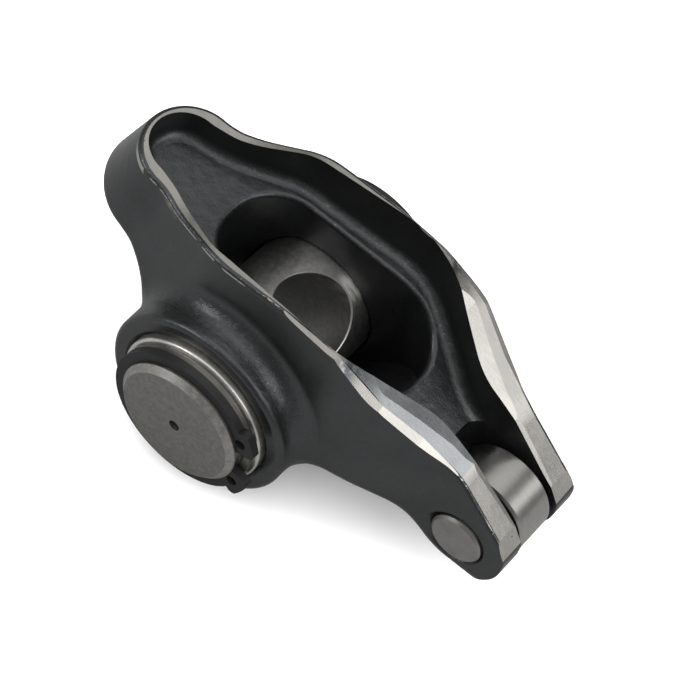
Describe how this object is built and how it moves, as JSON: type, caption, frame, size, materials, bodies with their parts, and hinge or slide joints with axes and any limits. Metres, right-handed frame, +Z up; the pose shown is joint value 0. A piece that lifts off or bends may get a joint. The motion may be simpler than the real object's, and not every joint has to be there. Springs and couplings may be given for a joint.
{
  "type": "roller rocker arm",
  "caption": "Open-tub rocker arm that rocks on a needle bearing trunnion with a cross bore for the stud; ball seat for the pushrod at one end, roller tip in a fork at the other.",
  "frame": {"origin": "middle of the trunnion, where its axis meets the axis of the stud bore", "axes": "+X from the trunnion axis to the roller axis, +Y along the trunnion, +Z up out of the open side of the tub"},
  "size_m": [0.075, 0.0438, 0.0373],
  "materials": {
    "black_oxide_steel": "investment cast steel with a satin black oxide skin, rim ground bare",
    "ground_steel": "satin ground hardened steel",
    "roller_steel": "ground and tumbled bearing steel",
    "pin_steel": "ground pin with dull end faces",
    "shell_steel": "bright drawn steel shell",
    "cage_steel": "dull punched steel cage",
    "needle_steel": "polished needle rollers",
    "washer_steel": "flat ground steel",
    "spring_steel": "dark phosphated spring steel"
  },
  "bodies": {
    "trunnion": {"trunnion": "ground_steel", "thrust_washer_near": "washer_steel", "thrust_washer_far": "washer_steel", "snap_ring_near": "spring_steel", "snap_ring_far": "spring_steel"},
    "rocker": {"rocker_body": "black_oxide_steel", "bearing_shell_near": "shell_steel", "bearing_shell_far": "shell_steel", "roller_pin": "pin_steel"},
    "needles_near": {"needle_cage_near": "cage_steel", "needle_rollers_near": "needle_steel"},
    "needles_far": {"needle_cage_far": "cage_steel", "needle_rollers_far": "needle_steel"},
    "roller": {"roller_tip": "roller_steel"}
  },
  "joints": [
    {"name": "rocking", "type": "hinge", "parent": "trunnion", "child": "rocker", "pos_m": [0, 0, 0], "axis": [0, 1, 0], "range_deg": [-15, 45]},
    {"name": "needles_near_roll", "type": "hinge", "parent": "trunnion", "child": "needles_near", "pos_m": [0, 0, 0], "axis": [0, 1, 0], "range_deg": [-8.06, 24.18]},
    {"name": "needles_far_roll", "type": "hinge", "parent": "trunnion", "child": "needles_far", "pos_m": [0, 0, 0], "axis": [0, 1, 0], "range_deg": [-8.06, 24.18]},
    {"name": "roller_spin", "type": "hinge", "parent": "rocker", "child": "roller", "pos_m": [0.0374, 0, 0], "axis": [0, 1, 0], "continuous": true}
  ],
  "couplings": [
    {"joint": "needles_near_roll", "follows": "rocking", "ratio": 0.5374},
    {"joint": "needles_far_roll", "follows": "rocking", "ratio": 0.5374}
  ]
}
